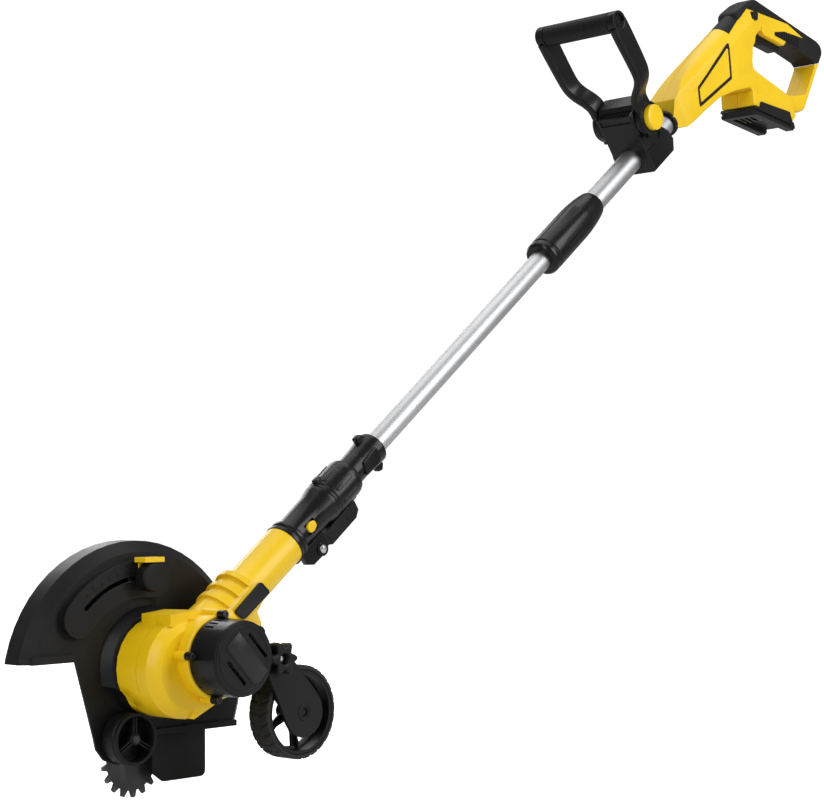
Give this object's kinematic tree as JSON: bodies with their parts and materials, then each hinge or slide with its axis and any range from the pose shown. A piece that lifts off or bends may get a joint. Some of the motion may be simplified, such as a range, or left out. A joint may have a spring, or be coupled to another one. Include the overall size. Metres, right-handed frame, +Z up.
{
  "type": "lawn edger",
  "caption": "Battery lawn edger: toothed blade under a swinging guard, motor head with rear and front guide wheels, telescopic pole with locks, tilting D-handle and a rear grip with trigger.",
  "frame": {"origin": "middle of the rear grip, where the rear hand holds the machine, in the machine's middle plane", "axes": "+X backwards, towards the operator and away from the way the machine is pushed; +Y towards the blade side; +Z up, with the pole at its working slope of 38 degrees"},
  "size_m": [1.3186, 0.1528, 0.9667],
  "materials": {
    "yellow_shell": "moulded, fine grain, semi-gloss",
    "yellow_accent": "smooth moulded",
    "black_gloss": "moulded, soft sheen",
    "black_matte": "moulded, spark-eroded grain",
    "soft_grip": "soft-touch overmould",
    "tyre_rubber": "matt treaded rubber",
    "tube_aluminium": "satin anodised",
    "steel": "zinc plated or ground",
    "terminal_brass": "tinned brass",
    "board_green": "lacquered circuit board"
  },
  "bodies": {
    "handle": {"upper_tube": "tube_aluminium", "lock_collet": "black_matte", "handle_shell_left": "yellow_shell", "handle_shell_right": "yellow_shell", "handle_cover": "soft_grip", "switch_body": "black_matte", "control_board": "board_green", "trigger_pin": "steel", "battery_dock": "black_matte", "dock_terminals": "terminal_brass"},
    "trigger": {"trigger": "black_matte"},
    "lock_off_button": {"lock_off_button": "black_matte"},
    "mount": {"d_handle_mount": "black_gloss"},
    "d_handle": {"d_handle_frame": "black_gloss", "d_handle_sleeve": "soft_grip"},
    "d_knob": {"d_handle_knob": "yellow_accent"},
    "head": {"motor_cap": "black_gloss", "cap_screw_1": "steel", "cap_screw_2": "steel", "cap_screw_3": "steel", "motor_can": "steel", "motor_end_bell": "tube_aluminium", "motor_bearing": "steel", "head_shell_left": "yellow_shell", "head_shell_right": "yellow_shell", "neck_badge": "black_gloss", "gearbox_cover": "black_matte", "spindle_bearing": "steel", "depth_arm": "steel", "depth_pointer": "yellow_accent", "rear_bracket": "black_matte", "coupling_body": "black_gloss", "lever_pin": "steel", "lower_tube": "tube_aluminium", "motor_lead": "black_matte", "pole_collar": "black_gloss"},
    "rotor": {"motor_rotor": "steel", "cooling_fan": "black_matte", "motor_pinion": "steel"},
    "blade": {"spindle": "steel", "spindle_gear": "steel", "blade": "steel", "blade_washer": "steel", "blade_nut": "steel"},
    "guard": {"guard": "black_matte", "debris_flap": "soft_grip", "front_axle": "steel"},
    "front_wheel": {"front_wheel": "black_matte"},
    "depth_knob": {"depth_knob": "black_matte"},
    "wheel_arm": {"wheel_arm": "black_matte", "rear_axle": "steel"},
    "arm_knob": {"wheel_arm_knob": "black_matte", "wheel_arm_bolt": "steel"},
    "rear_wheel": {"rear_wheel": "black_matte", "rear_tyre": "tyre_rubber"},
    "ring_nut": {"ring_nut": "black_gloss"},
    "cam_lever": {"cam_lever": "black_matte"},
    "release_button": {"release_button": "yellow_accent"},
    "twist_lock": {"twist_lock": "black_gloss"}
  },
  "joints": [
    {"name": "pole_slide", "type": "slide", "parent": "handle", "child": "head", "axis": [0.7863, 0, 0.6178], "range_m": [0, 0.2]},
    {"name": "trigger_pull", "type": "hinge", "parent": "handle", "child": "trigger", "pos_m": [-0.06053, 0, 0.00108], "axis": [0, -1, 0], "range_deg": [0, 10], "stiffness_Nm_per_rad": 2, "springref_deg": -5.73},
    {"name": "lock_off_press", "type": "slide", "parent": "handle", "child": "lock_off_button", "axis": [0, 1, 0], "range_m": [0, 0.003], "stiffness_N_per_m": 400, "springref_m": -0.0005},
    {"name": "mount_slide", "type": "slide", "parent": "handle", "child": "mount", "axis": [0.7863, 0, 0.6178], "range_m": [-0.06, 0.025]},
    {"name": "d_handle_tilt", "type": "hinge", "parent": "mount", "child": "d_handle", "pos_m": [-0.34132, 0, -0.1677], "axis": [0, 1, 0], "range_deg": [-40, 40]},
    {"name": "d_knob_turn", "type": "hinge", "parent": "mount", "child": "d_knob", "pos_m": [-0.34132, -0.042, -0.1677], "axis": [0, 1, 0], "range_deg": [0, 360]},
    {"name": "twist_lock_turn", "type": "hinge", "parent": "handle", "child": "twist_lock", "pos_m": [-0.46338, 0, -0.31827], "axis": [0.7863, 0, 0.6178], "range_deg": [0, 90]},
    {"name": "ring_nut_turn", "type": "hinge", "parent": "head", "child": "ring_nut", "pos_m": [-0.85734, 0, -0.62779], "axis": [0.7863, 0, 0.6178], "range_deg": [0, 90]},
    {"name": "cam_lever_open", "type": "hinge", "parent": "head", "child": "cam_lever", "pos_m": [-0.89115, 0, -0.68996], "axis": [0, 1, 0], "range_deg": [0, 110]},
    {"name": "release_button_press", "type": "slide", "parent": "head", "child": "release_button", "axis": [0, 1, 0], "range_m": [0, 0.002], "stiffness_N_per_m": 300, "springref_m": -0.0005},
    {"name": "guard_swing", "type": "hinge", "parent": "head", "child": "guard", "pos_m": [-1.08303, 0.046, -0.81718], "axis": [0, 1, 0], "range_deg": [0, 38]},
    {"name": "depth_knob_turn", "type": "hinge", "parent": "head", "child": "depth_knob", "pos_m": [-1.08485, 0.024, -0.71319], "axis": [0, 1, 0], "range_deg": [0, 360]},
    {"name": "front_wheel_spin", "type": "hinge", "parent": "guard", "child": "front_wheel", "pos_m": [-1.10622, 0.03, -0.86827], "axis": [0, 1, 0], "continuous": true},
    {"name": "wheel_arm_swing", "type": "hinge", "parent": "head", "child": "wheel_arm", "pos_m": [-0.99732, -0.058, -0.79347], "axis": [0, 1, 0], "range_deg": [-45, 25]},
    {"name": "arm_knob_turn", "type": "hinge", "parent": "head", "child": "arm_knob", "pos_m": [-0.99732, -0.067, -0.79347], "axis": [0, 1, 0], "range_deg": [0, 360]},
    {"name": "rear_wheel_spin", "type": "hinge", "parent": "wheel_arm", "child": "rear_wheel", "pos_m": [-0.95942, -0.043, -0.84927], "axis": [0, 1, 0], "continuous": true},
    {"name": "blade_spin", "type": "hinge", "parent": "head", "child": "blade", "pos_m": [-1.08303, 0.046, -0.81718], "axis": [0, 1, 0], "continuous": true},
    {"name": "rotor_spin", "type": "hinge", "parent": "head", "child": "rotor", "pos_m": [-1.05332, -0.027, -0.78947], "axis": [0, 1, 0], "continuous": true}
  ],
  "couplings": [
    {"joint": "rotor_spin", "follows": "blade_spin", "ratio": -1.5}
  ]
}
